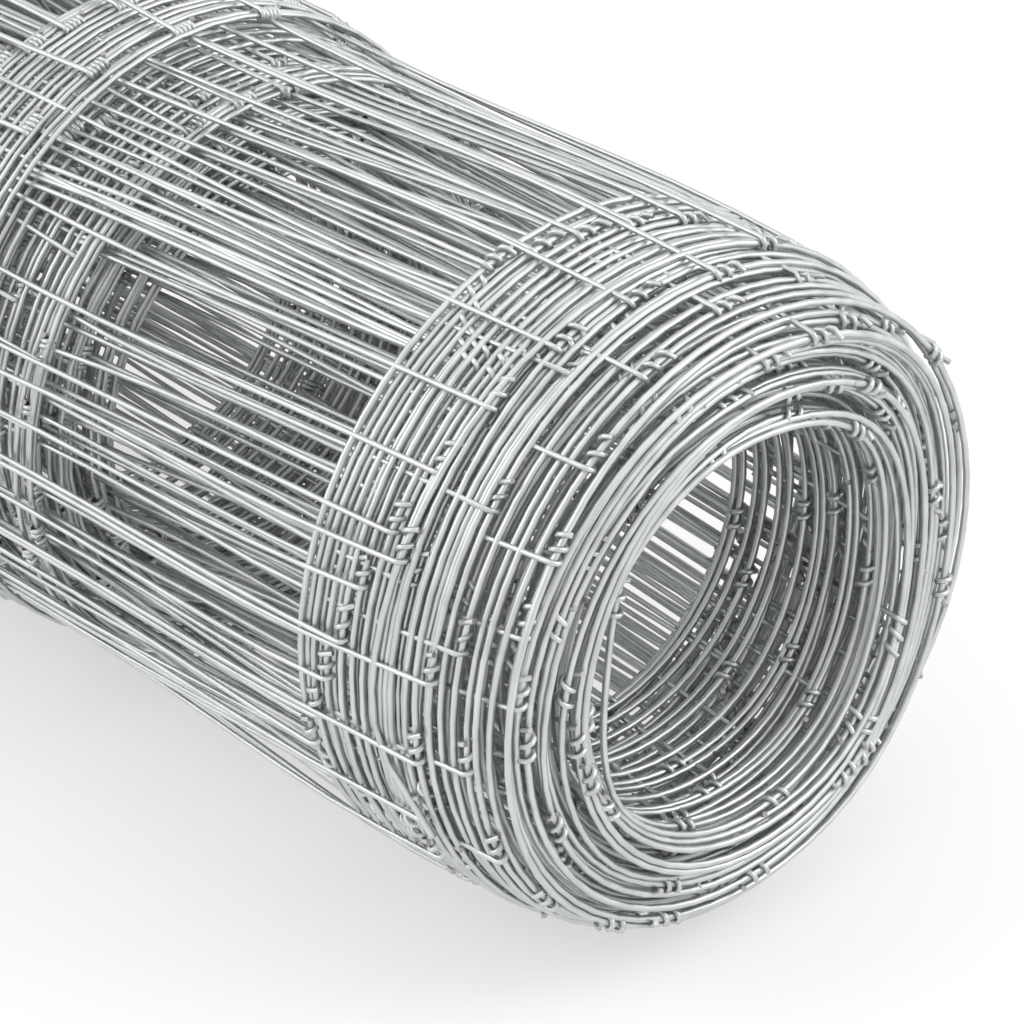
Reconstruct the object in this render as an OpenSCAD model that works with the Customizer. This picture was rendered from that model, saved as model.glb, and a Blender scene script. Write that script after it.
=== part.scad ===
// A roll of knotted wire fencing, lying on its side, as one turned solid with its bore.
// The turns have slid along each other: at the front end they bulge out in a rounded mouth,
// and at the back end the same turns are drawn in by as much.

/* [Fence] */
// Height of the fence from edge wire to edge wire, which is the length of every turn
fence_h = 1000; // [900:10:1400]
// Thickness of the two edge wires
edge_wire_d = 2; // [1.6:0.1:2.5]
// Thickness of the line wires between the edge wires
line_wire_d = 1.6; // [1.2:0.1:2.4]
// Widest gap between line wires, at the front edge; the gaps narrow evenly towards the foot
top_gap = 200; // [150:5:240]
// Number of gaps from edge wire to edge wire
line_gaps = 7; // [5:1:8]

/* [Winding] */
// Diameter over the outermost edge wire
outer_d = 209; // [196:1:260]
// Diameter of the open bore
bore_d = 116; // [90:1:126]
// Turns that show on the wall of the bore
inner_turns = 15; // [5:1:20]
// Turns that show across the end, between the bore and the outer turns
end_turns = 14; // [4:1:16]
// Turns that show round the outside
outer_turns = 13; // [6:1:20]
// Room between turns that lie flush beside each other
wire_clearance = 0.1; // [0:0.05:0.3]

/* [Mouth] */
// How far forward the outer turns spread, from the first one to the last one
outer_spread = 57; // [48:1:80]
// How much the outer turns draw in towards the mouth
outer_draw = 5.6; // [2:0.1:8]
// Place of the innermost turn, forward of the first outer turn
inner_start = 8; // [0:1:18]
// How far forward the turns on the wall of the bore spread
inner_spread = 67; // [54:1:80]
// How much the bore widens towards the mouth
inner_flare = 3.7; // [1:0.1:5]
// How far the turns across the end bulge past the straight line between the two walls
end_bulge = 3; // [0:0.5:8]

/* [Hidden] */
$fn = 128;

half_turn_deg = 180;
lie_down_deg = 90;
bead_steps = 6;
turns = inner_turns + end_turns + outer_turns;
first_outer = inner_turns + end_turns;
// Change from each gap to the next, so that together they fill the height
gap_change = 2 * (fence_h / line_gaps - top_gap) / (line_gaps - 1);
bore_r = bore_d / 2;
// Wire centres of the innermost and outermost turns
inner_r = bore_r + edge_wire_d;
outer_r = outer_d / 2 - edge_wire_d / 2;
// Pitch where turns lie flush beside each other, and where they have slid past each other
side_pitch = edge_wire_d + wire_clearance;
slid_pitch = (outer_r - inner_r - (end_turns + 1) * side_pitch) / (turns - end_turns - 2);
// Radius at the front of the last turn on the bore and the last turn outside
mouth_in_r = inner_r + inner_flare;
mouth_out_r = outer_r - outer_draw;
mouth_in_x = inner_start + inner_spread;

function blend(a, b, share) = a + (b - a) * share;
function inner_share(turn) = turn / (inner_turns - 1);
function end_share(turn) = (turn - inner_turns + 1) / (end_turns + 1);
function outer_share(turn) = (turn - first_outer) / (outer_turns - 1);

// Slide of each turn along the roll, the same at both of its edges
function turn_x(turn) =
    turn < inner_turns ? blend(inner_start, mouth_in_x, inner_share(turn))
    : turn < first_outer
        ? blend(mouth_in_x, outer_spread, end_share(turn))
          + end_bulge * sin(half_turn_deg * end_share(turn))
    : blend(0, outer_spread, outer_share(turn));

// Radius of each turn's edge wire where it bunches at the mouth
function mouth_r(turn) =
    turn < inner_turns ? blend(inner_r, mouth_in_r, inner_share(turn))
    : turn < first_outer ? blend(mouth_in_r, mouth_out_r, end_share(turn))
    : blend(outer_r, mouth_out_r, outer_share(turn));

// Radius of each turn along the rest of the roll, one pitch after another
function side_turns(turn) = max(0, min(turn - inner_turns + 1, end_turns + 1));
function wound_r(turn) =
    inner_r + side_turns(turn) * side_pitch + (turn - side_turns(turn)) * slid_pitch;

// Distance of each inner line wire from the front edge wire
line_places = [
    for (gap = [1 : line_gaps - 1]) gap * top_gap + gap * (gap - 1) / 2 * gap_change
];

// Foremost and rearmost wires, which set the middle of the length
front_x = max([for (turn = [0 : turns - 1]) turn_x(turn)]);
back_x = min([for (turn = [0 : turns - 1]) turn_x(turn)]) - fence_h;
middle_x = (front_x + back_x) / 2;

// Wires round the section: from the bore across the mouth, along the outside to the back end,
// and across it to the bore. Each has its radius, its place along the roll and its thickness.
mouth_rings = concat(
    [for (turn = [0 : first_outer - 1]) [mouth_r(turn), turn_x(turn), edge_wire_d]],
    [for (turn = [turns - 1 : -1 : first_outer]) [mouth_r(turn), turn_x(turn), edge_wire_d]]
);
// Each line wire's outer turns lie round the outside as one band of rings, slid like the mouth
outside_rings = [
    for (place = line_places, turn = [turns - 1 : -1 : first_outer])
        [wound_r(turn), turn_x(turn) - place, line_wire_d]
];
back_rings = [
    for (turn = [turns - 1 : -1 : 0]) [wound_r(turn), turn_x(turn) - fence_h, edge_wire_d]
];
bore_ends = [[bore_r, turn_x(0) - fence_h, 0], [bore_r, turn_x(0), 0]];
section_ring = concat(mouth_rings, outside_rings, back_rings, bore_ends);

function place_of(ring) = [ring[0], ring[1]];
function unit(step) = step / norm(step);
function step_to(index) =
    unit(place_of(section_ring[(index + 1) % len(section_ring)]) - place_of(section_ring[index]));
function heading(index) =
    let (way = step_to((index + len(section_ring) - 1) % len(section_ring)) + step_to(index))
    atan2(way[1], way[0]);

// Half a wire that stands out of the section, or the bare corner where there is no wire
function bead(index) =
    let (ring = section_ring[index])
    ring[2] == 0 ? [place_of(ring)]
    : [for (step = [0 : bead_steps])
        let (angle = heading(index) + half_turn_deg * (1 - step / bead_steps))
        place_of(ring) + ring[2] / 2 * [cos(angle), sin(angle)]];

module fence_roll() {
    color("silver")
        translate([0, 0, outer_d / 2])
            rotate([0, lie_down_deg, 0])
                translate([0, 0, -middle_x])
                    rotate_extrude()
                        polygon([for (index = [0 : len(section_ring) - 1]) each bead(index)]);
}

fence_roll();
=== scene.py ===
import math

import bpy
import numpy as np
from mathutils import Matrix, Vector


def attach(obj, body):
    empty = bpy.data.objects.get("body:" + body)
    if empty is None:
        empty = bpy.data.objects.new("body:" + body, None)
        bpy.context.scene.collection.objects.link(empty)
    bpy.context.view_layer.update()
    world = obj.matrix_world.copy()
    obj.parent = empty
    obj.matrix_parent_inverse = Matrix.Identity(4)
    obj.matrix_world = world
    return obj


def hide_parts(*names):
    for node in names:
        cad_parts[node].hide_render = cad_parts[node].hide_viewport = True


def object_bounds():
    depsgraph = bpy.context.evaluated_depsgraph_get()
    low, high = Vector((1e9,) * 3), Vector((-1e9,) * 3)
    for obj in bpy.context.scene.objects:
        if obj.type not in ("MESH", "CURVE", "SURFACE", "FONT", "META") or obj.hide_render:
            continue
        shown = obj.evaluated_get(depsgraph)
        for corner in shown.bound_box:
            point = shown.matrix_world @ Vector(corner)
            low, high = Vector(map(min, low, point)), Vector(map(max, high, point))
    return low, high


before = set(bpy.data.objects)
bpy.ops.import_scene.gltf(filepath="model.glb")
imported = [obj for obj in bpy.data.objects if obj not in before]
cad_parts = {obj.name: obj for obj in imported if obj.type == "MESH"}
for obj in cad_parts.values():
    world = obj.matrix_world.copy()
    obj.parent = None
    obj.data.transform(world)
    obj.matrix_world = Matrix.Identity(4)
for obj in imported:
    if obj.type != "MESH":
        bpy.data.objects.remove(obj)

cad_low, cad_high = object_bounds()
bpy.ops.object.select_all(action="DESELECT")

# Edge wires
# The two heaviest wires, drawn steel with a hot-dipped zinc coat, one along each edge of the fence.
# The fence was rolled up by hand, so each is one long spiral that shows as close rings. The turns
# have slid along each other: at the front they reach out round the mouth, at the back they draw in.
fence_height = 1.0
top_gap = 0.200
gaps = 7
edge_wire = 0.0020
line_wire = 0.0016
# The gaps between the wires narrow evenly from the front edge to the foot
gap_change = 2 * (fence_height / gaps - top_gap) / (gaps - 1)
line_places = [gap * top_gap + gap * (gap - 1) / 2 * gap_change for gap in range(gaps + 1)]
wire_sizes = [edge_wire] + [line_wire] * (gaps - 1) + [edge_wire]

axis_z = (cad_low.z + cad_high.z) / 2
first_turn_x = cad_low.x + edge_wire / 2 + fence_height

# The winding is counted in turns from the free inner end, and lies in layers from the bore
# outwards. The first and the last three layers show as they lie, those between at their ends
bore_turns = 15
inner_layers = 4
inner_turns = 9
lining_turns = 12
shoulder_turns = 15
under_turns = 10
outside_turns = 12
first_shoulder = bore_turns + inner_layers * inner_turns + lining_turns
first_under = first_shoulder + shoulder_turns
first_outside = first_under + under_turns
spare_turn = 0.03
last_turn = first_outside + outside_turns + spare_turn
# The fence is cut off a little before the winding would be full
cut_short = 0.23
cut_turn = last_turn - cut_short
full_turn = 2 * math.pi
roll_start = math.radians(274.2)
turn_steps = 80
turn = np.arange(0, last_turn, 1 / turn_steps)


def blend(first, last, share):
    return first + (last - first) * share


def layer(turns, slides, radii, towards_mouth, crowding=0.0, rounding=1, loose=0.0):
    # Slide, mouth radius and looseness of each turn of a layer, and the way it was wound. Slides
    # and radii run from its deepest turn to the one nearest the mouth, where the turns may crowd
    # together and lie loosest
    share = np.linspace(0, 1, turns) if towards_mouth else np.linspace(1, 0, turns)
    crowded = blend(share, np.sin(share * math.pi / 2), crowding)
    slide = blend(slides[0], slides[1], crowded)
    radius = blend(radii[0], radii[1], share**rounding)
    looseness = loose * share**2
    over = np.full(turns, 1 if towards_mouth else -1)
    return slide, radius, looseness, over


# The bore, four inner layers, the lining of the shoulder, the shoulder, and two layers outside
turn_slides, turn_radii, turn_looseness, turn_over = np.concatenate(
    [
        layer(bore_turns, (0.0060, 0.0740), (0.0600, 0.0628), True, 0.3, 1, 0.6),
        layer(inner_turns, (0.0020, 0.0755), (0.0632, 0.0668), False, 0.6, 4, 0.9),
        layer(inner_turns, (0.0030, 0.0760), (0.0668, 0.0706), True, 0.6, 4, 0.9),
        layer(inner_turns, (0.0050, 0.0757), (0.0706, 0.0744), False, 0.6, 4, 0.9),
        layer(inner_turns, (0.0070, 0.0748), (0.0744, 0.0784), True, 0.6, 4, 0.9),
        layer(lining_turns, (0.0100, 0.0712), (0.0930, 0.0800), False, 0.9, 3, 1.0),
        layer(shoulder_turns, (0.0220, 0.0736), (0.0967, 0.0815), True, 0.95, 3.2, 1.0),
        layer(under_turns, (0.0010, 0.0430), (0.0984, 0.0975), False),
        layer(outside_turns, (-0.0020, 0.0515), (0.1003, 0.0978), True),
    ],
    axis=1,
)


def smoothed(line, reach):
    # Each value becomes the mean of those within reach of it
    kernel = np.ones(2 * reach + 1) / (2 * reach + 1)
    return np.convolve(np.pad(line, reach, mode="edge"), kernel, mode="valid")


def along_winding(values):
    # One value for each turn, joined into a smooth line along the whole winding
    line = np.interp(turn, np.arange(len(values)) + 0.5, values)
    return smoothed(line, turn_steps // 4)


slide = along_winding(turn_slides)
mouth_r = along_winding(turn_radii)
looseness = along_winding(turn_looseness)
# Away from the mouth the turns lie wound on each other: the radii reached after these turns
wound_turns = (0, 47.2, first_under, first_outside, last_turn)
wound_radii = (0.06098, 0.08166, 0.0950, 0.0986, 0.1018)
wound_r = np.interp(turn, wound_turns, wound_radii)

draw = np.random.default_rng(50)


def wander(slowest, fastest):
    # A smooth uneven line along the winding, about one high, of waves that pass so often a turn
    waves = 8
    speeds = draw.uniform(slowest, fastest, waves)
    starts = draw.uniform(0, full_turn, waves)
    return np.sin(full_turn * np.outer(turn, speeds) + starts).sum(axis=1) / math.sqrt(waves / 2)


def part_turns(slides, radii, wire):
    # Neighbouring turns that would run through each other are pushed apart, a little at a time
    rounds = 24
    give = 0.4
    room = wire * 1.03
    least_gap = 1e-6
    rows = math.ceil(len(turn) / turn_steps)
    # Points that fill up the last turn lie metres away, where they push nothing
    far_off = 9.0 + np.arange(rows * turn_steps - len(turn))
    place = np.stack([np.concatenate([slides, far_off]), np.concatenate([radii, far_off])], axis=-1)
    place = place.reshape(rows, turn_steps, 2).transpose(1, 0, 2)
    own = np.eye(rows, dtype=bool)
    for _ in range(rounds):
        step = place[:, :, None, :] - place[:, None, :, :]
        gap = np.linalg.norm(step, axis=-1)
        gap[:, own] = 1.0
        push = np.clip(room - gap, 0, None) * give
        away = step / np.maximum(gap, least_gap)[..., None]
        place = place + (away * push[..., None]).sum(axis=2)
    place = place.transpose(1, 0, 2).reshape(-1, 2)[: len(turn)]
    reach = 2
    return smoothed(place[:, 0], reach), smoothed(place[:, 1], reach)


def swell(centre, half_width):
    # A smooth hump, one high, round one place on the winding
    share = np.clip(np.abs(turn - centre) / half_width, 0, 1)
    return 0.5 + 0.5 * np.cos(math.pi * share)


# How far the turns stray along the roll and off it, further where they lie loosely
slow_stray = 0.0006 + 0.0009 * looseness
quick_stray = 0.0002 + 0.0006 * looseness
own_stray = 0.0003
off_stray = 0.0004 + 0.0010 * looseness
shared_slide = slide + wander(0.15, 0.8) * slow_stray + wander(1.2, 2.2) * quick_stray

# Away from the mouth the wires lie a little lower, and the outside turns are spread a little less
knot_room = 0.0007
spread_lost = 0.0120

# The mouth leans back at the right, by this much where the turns have slid far
lean_back = 0.0085
lean_back_slide = 0.060
lean_back_at = math.radians(5)
lean_back_width = math.radians(75)
from_right = np.angle(np.exp(1j * (full_turn * turn + roll_start - lean_back_at)))
at_right = 0.5 + 0.5 * np.cos(np.clip(from_right / lean_back_width, -1, 1) * math.pi)

# Loose loops, each with its turn, its angle round the roll, its half width in turns, how far it
# stands off and how far it shifts: two at the right of the shoulder, and one into the mouth
loose_loops = (
    (first_shoulder + 8, 358, 0.19, 0.0048, 0.0065),
    (first_shoulder + 9, 358, 0.19, 0.0034, 0.0065),
    (bore_turns - 2, 530, 0.15, -0.0095, 0),
)

# The last turn lies askew over the others, and the cut end of its edge wire springs off across
# them, fully at the cut
askew_turns = 0.73
askew_slide = 0.0250
askew_rise = 0.0026
rise_share = 0.15
sprung_turns = 0.034
sprung_slide = 0.0190
sprung_rise = 0.0020
askew = np.clip((turn - last_turn + 1) / askew_turns, 0, 1)
sprung = np.clip((turn - cut_turn) / sprung_turns + 1, 0, 2)

line_slides = []
line_radii = []
for row in range(gaps + 1):
    row_slide = shared_slide + own_stray * wander(0.6, 2.6)
    lying_r = mouth_r if row == 0 else wound_r - knot_room
    row_radius = lying_r + off_stray * wander(0.4, 2.2)
    if row == 0:
        slid_share = np.clip(slide / lean_back_slide, 0, 1)
        row_slide = row_slide - lean_back * at_right * slid_share * (turn < first_under)
        row_slide = row_slide - askew_slide * askew + sprung_slide * sprung
        row_radius = row_radius + askew_rise * np.clip(askew / rise_share, 0, 1)
        row_radius = row_radius + sprung_rise * sprung
        for loop_turn, loop_deg, half_width, stand_off, shift in loose_loops:
            loop = swell(loop_turn + (math.radians(loop_deg) - roll_start) / full_turn, half_width)
            row_radius = row_radius + stand_off * loop
            row_slide = row_slide + shift * loop
    else:
        row_slide = row_slide - spread_lost * np.clip((turn - first_outside) / outside_turns, 0, 1)
    row_slide, row_radius = part_turns(row_slide, row_radius, wire_sizes[row])
    line_slides.append(row_slide)
    line_radii.append(row_radius)


def on_line(row, at):
    # Centre of a line wire at a place on the winding, with the ways out and round there
    angle = full_turn * at + roll_start
    radius = np.interp(at, turn, line_radii[row])
    x = first_turn_x + np.interp(at, turn, line_slides[row]) - line_places[row]
    out = np.stack([np.zeros_like(angle), np.cos(angle), np.sin(angle)], axis=-1)
    round_way = np.stack([np.zeros_like(angle), -np.sin(angle), np.cos(angle)], axis=-1)
    centre = radius[..., None] * out + np.stack([x, 0 * x, 0 * x + axis_z], axis=-1)
    return centre, out, round_way


def zinc_finish():
    # Hot-dipped zinc on drawn wire: pale grey, drawn out in fine streaks along the wire, with dull
    # cloudy patches, and bare darker steel where a wire was cut
    dull_zinc = (0.535, 0.552, 0.549, 1)
    bright_zinc = (0.735, 0.752, 0.748, 1)
    cut_steel = (0.44, 0.43, 0.41, 1)
    zinc = bpy.data.materials.new("zinc_wire")
    zinc.use_nodes = True
    nodes = zinc.node_tree.nodes
    links = zinc.node_tree.links
    shader = nodes["Principled BSDF"]
    shader.inputs["Metallic"].default_value = 1.0

    along = nodes.new("ShaderNodeUVMap")
    along.uv_map = "along_wire"
    stretch = nodes.new("ShaderNodeMapping")
    stretch.inputs["Scale"].default_value = (7.0, 45.0, 1.0)
    links.new(along.outputs["UV"], stretch.inputs["Vector"])
    streaks = nodes.new("ShaderNodeTexNoise")
    streaks.inputs["Scale"].default_value = 1.0
    streaks.inputs["Detail"].default_value = 3.0
    links.new(stretch.outputs["Vector"], streaks.inputs["Vector"])

    place = nodes.new("ShaderNodeTexCoord")
    clouds = nodes.new("ShaderNodeTexNoise")
    clouds.inputs["Scale"].default_value = 140.0
    clouds.inputs["Detail"].default_value = 4.0
    links.new(place.outputs["Object"], clouds.inputs["Vector"])

    mixed = nodes.new("ShaderNodeMix")
    mixed.data_type = "FLOAT"
    mixed.inputs["Factor"].default_value = 0.5
    links.new(streaks.outputs["Fac"], mixed.inputs["A"])
    links.new(clouds.outputs["Fac"], mixed.inputs["B"])

    tone = nodes.new("ShaderNodeValToRGB")
    tone.color_ramp.elements[0].position = 0.34
    tone.color_ramp.elements[0].color = dull_zinc
    tone.color_ramp.elements[1].position = 0.66
    tone.color_ramp.elements[1].color = bright_zinc
    links.new(mixed.outputs["Result"], tone.inputs["Fac"])

    cut = nodes.new("ShaderNodeAttribute")
    cut.attribute_name = "cut_end"
    bare = nodes.new("ShaderNodeMix")
    bare.data_type = "RGBA"
    bare.inputs["B"].default_value = cut_steel
    links.new(cut.outputs["Fac"], bare.inputs["Factor"])
    links.new(tone.outputs["Color"], bare.inputs["A"])
    links.new(bare.outputs["Result"], shader.inputs["Base Color"])

    rough = nodes.new("ShaderNodeMapRange")
    rough.inputs["From Min"].default_value = 0.3
    rough.inputs["From Max"].default_value = 0.7
    rough.inputs["To Min"].default_value = 0.38
    rough.inputs["To Max"].default_value = 0.54
    links.new(clouds.outputs["Fac"], rough.inputs["Value"])
    links.new(rough.outputs["Result"], shader.inputs["Roughness"])

    drawn = nodes.new("ShaderNodeBump")
    drawn.inputs["Strength"].default_value = 0.25
    drawn.inputs["Distance"].default_value = 0.00006
    links.new(streaks.outputs["Fac"], drawn.inputs["Height"])
    links.new(drawn.outputs["Normal"], shader.inputs["Normal"])
    return zinc


zinc_wire = zinc_finish()


def sweep_wires(name, paths, wire, sides):
    # Round wires along paths of points, joined in one mesh; each path brings a way across it
    around = full_turn * np.arange(sides) / sides
    side = np.arange(sides)
    # The corners stand out a little, so that a wire with flat sides looks as thick as a round one
    corner = wire / 2 * math.pi / sides / math.sin(math.pi / sides)
    points = []
    loops = []
    counts = []
    uvs = []
    cuts = []
    smooth = []
    first = 0
    for path, across in paths:
        count = len(path)
        way = np.gradient(path, axis=0)
        way /= np.linalg.norm(way, axis=1, keepdims=True)
        left = across - (across * way).sum(axis=1, keepdims=True) * way
        left /= np.linalg.norm(left, axis=1, keepdims=True)
        up = np.cross(way, left)
        leftwards = np.cos(around)[None, :, None] * left[:, None, :]
        upwards = np.sin(around)[None, :, None] * up[:, None, :]
        points.append((path[:, None, :] + corner * (leftwards + upwards)).reshape(-1, 3))

        # Walls of the wire, with a map of the way round it and the length along it
        row = np.arange(count - 1)[:, None] * sides
        near = first + row + side
        far = first + row + (side + 1) % sides
        loops.append(np.stack([near, far, far + sides, near + sides], axis=-1).reshape(-1))
        counts.append(np.full((count - 1) * sides, 4))
        run = np.concatenate([[0], np.cumsum(np.linalg.norm(np.diff(path, axis=0), axis=1))])
        shape = (count - 1, sides)
        round_from = np.broadcast_to(side / sides, shape)
        round_to = round_from + 1 / sides
        run_from = np.broadcast_to(run[:-1, None], shape)
        run_to = np.broadcast_to(run[1:, None], shape)
        near_places = [(round_from, run_from), (round_to, run_from)]
        far_places = [(round_to, run_to), (round_from, run_to)]
        corners = [np.stack(place, axis=-1) for place in near_places + far_places]
        uvs.append(np.stack(corners, axis=2).reshape(-1, 2))
        smooth.append(np.ones((count - 1) * sides, dtype=bool))

        # Cut ends
        loops.append(first + side[::-1])
        loops.append(first + (count - 1) * sides + side)
        counts.append(np.array([sides, sides]))
        uvs.append(np.zeros((2 * sides, 2)))
        smooth.append(np.zeros(2, dtype=bool))
        ends = np.zeros((count, sides))
        ends[[0, -1]] = 1
        cuts.append(ends.reshape(-1))
        first += count * sides

    points = np.concatenate(points).astype(np.float32)
    loops = np.concatenate(loops).astype(np.int32)
    counts = np.concatenate(counts)
    starts = np.concatenate([[0], np.cumsum(counts)[:-1]]).astype(np.int32)
    mesh = bpy.data.meshes.new(name)
    mesh.vertices.add(len(points))
    mesh.vertices.foreach_set("co", points.reshape(-1))
    mesh.loops.add(len(loops))
    mesh.loops.foreach_set("vertex_index", loops)
    mesh.polygons.add(len(counts))
    mesh.polygons.foreach_set("loop_start", starts)
    mesh.polygons.foreach_set("use_smooth", np.concatenate(smooth))
    wire_map = mesh.uv_layers.new(name="along_wire")
    wire_map.data.foreach_set("uv", np.concatenate(uvs).astype(np.float32).reshape(-1))
    cut_end = mesh.attributes.new("cut_end", "FLOAT", "POINT")
    cut_end.data.foreach_set("value", np.concatenate(cuts).astype(np.float32))
    mesh.update(calc_edges=True)
    mesh.validate()
    mesh.materials.append(zinc_wire)
    piece = bpy.data.objects.new(name, mesh)
    bpy.context.collection.objects.link(piece)
    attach(piece, "root")
    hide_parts("fence_roll")


def line_path(row, steps, hidden_steps):
    # Points along a whole wire, fewer to a turn where the turns are hidden
    at = np.concatenate(
        [
            np.arange(0, bore_turns, 1 / steps),
            np.arange(bore_turns, first_shoulder, 1 / hidden_steps),
            np.arange(first_shoulder, cut_turn, 1 / steps),
        ]
    )
    # Two close points at each end, so that the bare steel of the cut stays short
    cut_share = 0.0007
    at = np.concatenate([[0, cut_share], at[1:-1], [cut_turn - cut_share, cut_turn]])
    centre, _, _ = on_line(row, at)
    return centre, np.broadcast_to([1.0, 0.0, 0.0], centre.shape)


front_path = line_path(0, steps=56, hidden_steps=52)
sweep_wires("front_edge_wire", [front_path], edge_wire, sides=7)
back_path = line_path(gaps, steps=44, hidden_steps=36)
sweep_wires("back_edge_wire", [back_path], edge_wire, sides=6)

# Line wires
# Six lighter wires that run along the fence between the edge wires, closer together towards the
# foot. Wound up, each shows as a group of rings round the roll.
for row in range(1, gaps):
    # The first one shows from near by and is made more finely
    steps, hidden_steps, sides = (52, 28, 6) if row == 1 else (42, 20, 5)
    sweep_wires(f"line_wire_{row}", [line_path(row, steps, hidden_steps)], line_wire, sides)

# Stay wires
# Short wires across the fence, one to each gap between two line wires, at even steps along it.
# Both ends are wrapped round their line wires, loosely on the edge wires and tightly on the others,
# so that a knot of two stays stands on every crossing. The stays lean a little round the roll.
stay_wire = 0.0016
stay_gap = 0.1524
first_stay = 0.0064
run_of_turn = np.concatenate([[0], np.cumsum(full_turn * wound_r[:-1] * np.diff(turn))])
stay_turns = np.interp(np.arange(first_stay, run_of_turn[-1], stay_gap), run_of_turn, turn)
stay_count = len(stay_turns)
fence_stays = np.searchsorted(stay_turns, cut_turn)

# How far each stay leans round the roll, which fades along it, and how unevenly it was tied
lean = 0.075
lean_unevenness = 0.012
lean_reach = 0.40
tie_unevenness = 0.0012
front_tie_share = 0.3
leaning = lean_reach * (1 - np.exp(-np.array(line_places) / lean_reach))
stay_shift = np.outer(draw.normal(lean, lean_unevenness, stay_count), leaning)
tie_share = np.minimum(1, leaning / top_gap + front_tie_share)
stay_shift += draw.normal(0, tie_unevenness, stay_shift.shape) * tie_share

# Knots: their turns, the pitch and fit of these, and the cut tails
edge_pitch = 0.0050
edge_wraps = 2.1
edge_fit = 1.06
edge_tail_shares = np.array([0.3, 0.85, 1])
line_pitch = stay_wire * 1.02
line_wraps = 2.4
line_fit = 1.10
line_tail = np.array([0.0004, 0.0010, 0.0012])
plain_wraps = 1.4
plain_fit = 1.02
plain_tail = np.array([0.0012])

# Points in a turn of the front knot, in a turn of the back knot, and along the span
shown_detail = ((9, 7, 8), (7, 7, 6), (6, 6, 5))
plain_detail = (4, 4, 4)
shown_slide = 0.055
stay_sides = (6, 5, 4)


def wrap(row, at, start, way, wraps, steps, pitch, tail, fit):
    # Turns of a stay round its line wire, from the angle start on in the given way, and a cut tail
    reach = (wire_sizes[row] + stay_wire) / 2 * fit
    turned = np.linspace(0, full_turn * wraps, int(steps * wraps) + 1)
    angles = start + way * turned
    radius = np.interp(at, turn, line_radii[row])
    # The first part of a turn hardly moves on along the line wire
    slow_part = 0.22
    wound = turned / full_turn
    shift = -pitch * wound * wound / (wound + slow_part)
    centre, out, round_way = on_line(row, at + shift / (full_turn * radius))
    points = centre + reach * np.cos(angles)[:, None] * out
    points[:, 0] += reach * np.sin(angles)
    end_way = points[-1] - points[-2]
    end_way /= np.linalg.norm(end_way)
    tail_points = points[-1] + end_way * tail[:, None]
    tail_across = np.repeat(round_way[-1:], len(tail), axis=0)
    return np.concatenate([points, tail_points]), np.concatenate([round_way, tail_across])


def knot(row, at, start, way, steps, plain):
    # The loose knot of an edge wire, or one half of the tight knot of another line wire
    if row in (0, gaps):
        wraps = edge_wraps + draw.uniform(-0.06, 0.10)
        pitch = edge_pitch * draw.uniform(0.85, 1.12)
        tail = edge_tail_shares * draw.uniform(0.0008, 0.0026)
        return wrap(row, at, start, way, wraps, steps, pitch, tail, edge_fit)
    if plain:
        return wrap(row, at, start, way, plain_wraps, steps, line_pitch, plain_tail, plain_fit)
    return wrap(row, at, start, way, line_wraps, steps, line_pitch, line_tail, line_fit)


def smooth_step(share):
    share = np.clip(share, 0, 1)
    return share * share * (3 - 2 * share)


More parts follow.
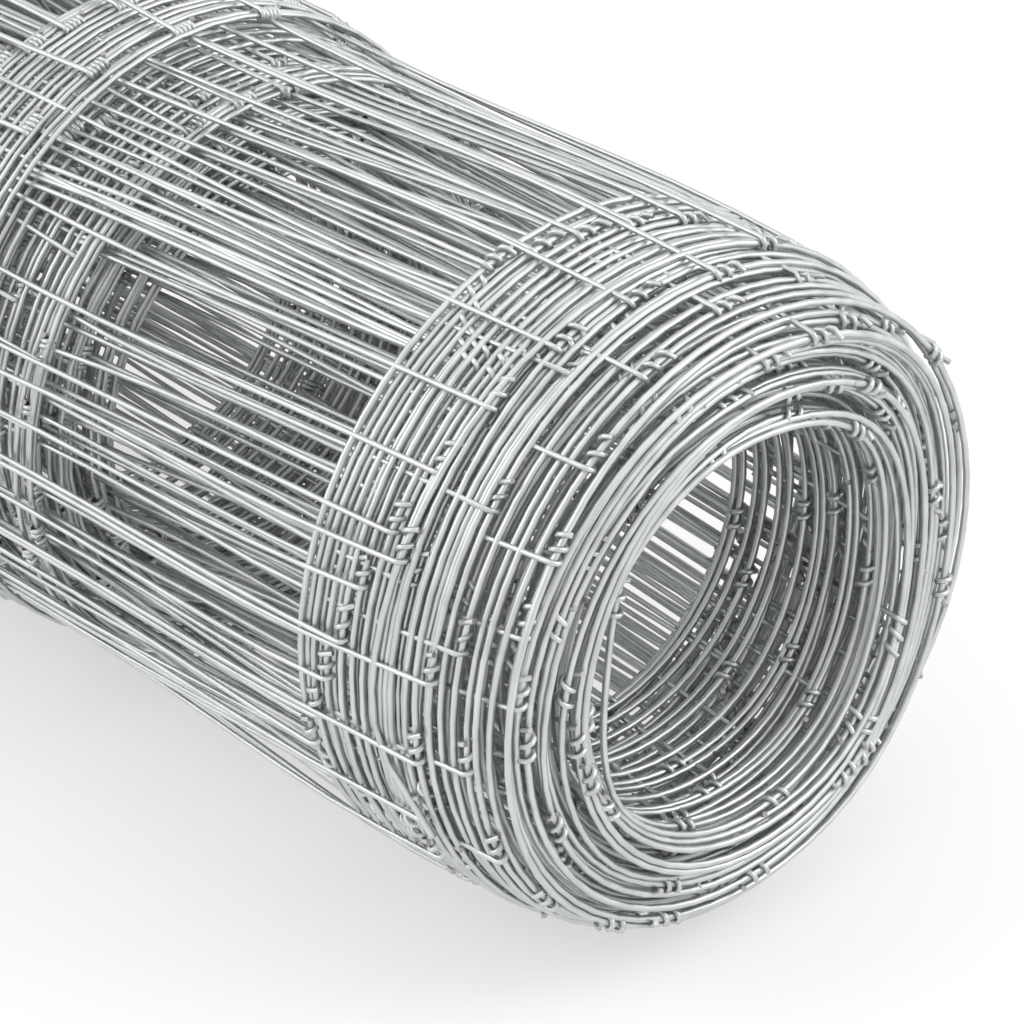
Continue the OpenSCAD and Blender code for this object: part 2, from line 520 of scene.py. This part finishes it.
def stay_path(stay, row):
    # One stay from the cut tail of its front knot to that of its back knot
    at = stay_turns[stay]
    over = turn_over[int(at)]
    around = full_turn * np.interp(at, turn, wound_r)
    own_slide = np.interp(at, turn, line_slides[row])

    # Stays that other turns hide are finished plainly, but not where an end of theirs shows
    hidden = bore_turns <= at < first_under
    at_mouth = row == 0 and own_slide > shown_slide
    at_back = row == gaps - 1 and own_slide < shown_slide / 2
    plain = hidden and not at_mouth and not at_back
    front_steps, back_steps, span_steps = plain_detail if plain else shown_detail[min(row, 2)]

    knot_length = 0 if row == 0 else line_pitch * line_wraps
    front_at = at + (stay_shift[stay, row] + knot_length) / around
    back_at = at + stay_shift[stay, row + 1] / around

    # In a layer wound towards the mouth, the further forward a turn lies the further out it is, so
    # a stay passes over the rings behind its own in front, and under those before it at the back
    front_start = 0.0 if over > 0 else math.pi
    back_start = math.pi - front_start
    front, front_across = knot(row, front_at, front_start, over, front_steps, plain)
    back, back_across = knot(row + 1, back_at, back_start, over, back_steps, plain)

    # Along its span it passes from one side of the rings to the other
    share = np.linspace(0, 1, span_steps + 2)[1:-1]
    lift = (line_wire + stay_wire) / 2
    front_r = np.hypot(front[0, 1], front[0, 2] - axis_z) - over * lift
    back_r = np.hypot(back[0, 1], back[0, 2] - axis_z) + over * lift
    gap = line_places[row + 1] - line_places[row]
    least_behind = 0.02
    least_ahead = 0.04
    most_of_span = 0.35
    behind = np.clip((own_slide - slide.min()) / gap, least_behind, most_of_span)
    ahead = np.clip((slide.max() - own_slide) / gap, least_ahead, most_of_span)
    highest = front_r
    if row == 0 and at >= first_outside:
        highest = max(mouth_r.max(), front_r)
    elif row == 0 and first_shoulder <= at < first_under:
        highest = max(turn_radii[first_shoulder], front_r)
    base = np.interp(share, [0, behind, 1], [front_r, highest, back_r])
    change = smooth_step((share - behind) / (1 - ahead - behind))
    span_r = base + over * lift * (1 - 2 * change)

    # No stay is quite straight
    bow_unevenness = 0.0012
    wave_unevenness = 0.0006
    bow = draw.normal(0, bow_unevenness) * np.sin(math.pi * share)
    bow += draw.normal(0, wave_unevenness) * np.sin(full_turn * share)
    angle = full_turn * (blend(front_at, back_at, share) + bow / around) + roll_start
    x = blend(front[0, 0], back[0, 0], share)
    span = np.stack([x, span_r * np.cos(angle), axis_z + span_r * np.sin(angle)], axis=-1)
    span_across = np.stack([0 * angle, -np.sin(angle), np.cos(angle)], axis=-1)
    path = np.concatenate([front[::-1], span, back])
    across = np.concatenate([front_across[::-1], span_across, back_across])
    return path, across


for row in range(gaps):
    # A stay past the cut end of the fence is left out
    paths = [stay_path(stay, row) for stay in range(stay_count)][:fence_stays]
    sweep_wires(f"stay_wires_{row + 1}", paths, stay_wire, stay_sides[min(row, 2)])

# Floor, light and camera
# A plain white floor under soft light from above, seen from above the mouth as in the photograph.
floor_size = 16.0
bpy.ops.mesh.primitive_plane_add(size=floor_size, location=(0, 0, cad_low.z))
floor = bpy.context.object
floor.name = "floor"
floor_paint = bpy.data.materials.new("floor_paint")
floor_paint.use_nodes = True
floor_nodes = floor_paint.node_tree.nodes
floor_links = floor_paint.node_tree.links
floor_shader = floor_nodes["Principled BSDF"]
floor_shader.inputs["Base Color"].default_value = (0.90, 0.90, 0.90, 1)
floor_shader.inputs["Roughness"].default_value = 0.9
floor_shader.inputs["Specular IOR Level"].default_value = 0.0
floor.data.materials.append(floor_paint)

# To the camera, and in the metal, the floor is mostly plain white, with a weak shadow left on it
white_share = 0.5
rays = floor_nodes.new("ShaderNodeLightPath")
seen = floor_nodes.new("ShaderNodeMath")
mirrored = floor_nodes.new("ShaderNodeMath")
whitening = floor_nodes.new("ShaderNodeMath")
whitening.operation = "MULTIPLY"
whitening.inputs[1].default_value = white_share
floor_links.new(rays.outputs["Is Camera Ray"], seen.inputs[0])
floor_links.new(rays.outputs["Is Glossy Ray"], seen.inputs[1])
floor_links.new(seen.outputs["Value"], mirrored.inputs[0])
floor_links.new(rays.outputs["Is Transmission Ray"], mirrored.inputs[1])
floor_links.new(mirrored.outputs["Value"], whitening.inputs[0])
white = floor_nodes.new("ShaderNodeEmission")
whitened = floor_nodes.new("ShaderNodeMixShader")
floor_links.new(whitening.outputs["Value"], whitened.inputs["Fac"])
floor_links.new(floor_shader.outputs["BSDF"], whitened.inputs[1])
floor_links.new(white.outputs["Emission"], whitened.inputs[2])
floor_links.new(whitened.outputs["Shader"], floor_nodes["Material Output"].inputs["Surface"])

world = bpy.data.worlds.new("studio")
bpy.context.scene.world = world
world.use_nodes = True
sky = world.node_tree.nodes["Background"]
sky.inputs["Color"].default_value = (1, 1, 1, 1)
sky.inputs["Strength"].default_value = 0.90

lamp_aim = (first_turn_x, 0, axis_z)
for name, place, size, power in (
    ("left_lamp", (-1.4, -2.4, 2.0), 2.4, 39),
    ("right_lamp", (2.6, 1.9, 2.0), 2.4, 53),
    ("top_lamp", (0.3, -0.2, 3.2), 2.4, 12),
):
    bpy.ops.object.light_add(type="AREA", location=place)
    lamp = bpy.context.object
    lamp.name = name
    lamp.data.size = size
    lamp.data.energy = power
    way = np.array(lamp_aim) - np.array(place)
    level = math.hypot(way[0], way[1])
    lamp.rotation_euler = (math.atan2(level, -way[2]), 0, math.atan2(way[1], way[0]) - math.pi / 2)

camera_height_deg = 31.1
camera_side_deg = 47.1
camera_place = (first_turn_x + 0.8981, -0.8575, axis_z + 0.7548)
camera_turn = (math.radians(90 - camera_height_deg), 0, math.radians(camera_side_deg))
bpy.ops.object.camera_add(location=camera_place, rotation=camera_turn)
camera = bpy.context.object
camera.data.lens = 179.3
camera.data.sensor_width = 36
bpy.context.scene.camera = camera
bpy.context.scene.view_settings.view_transform = "Standard"
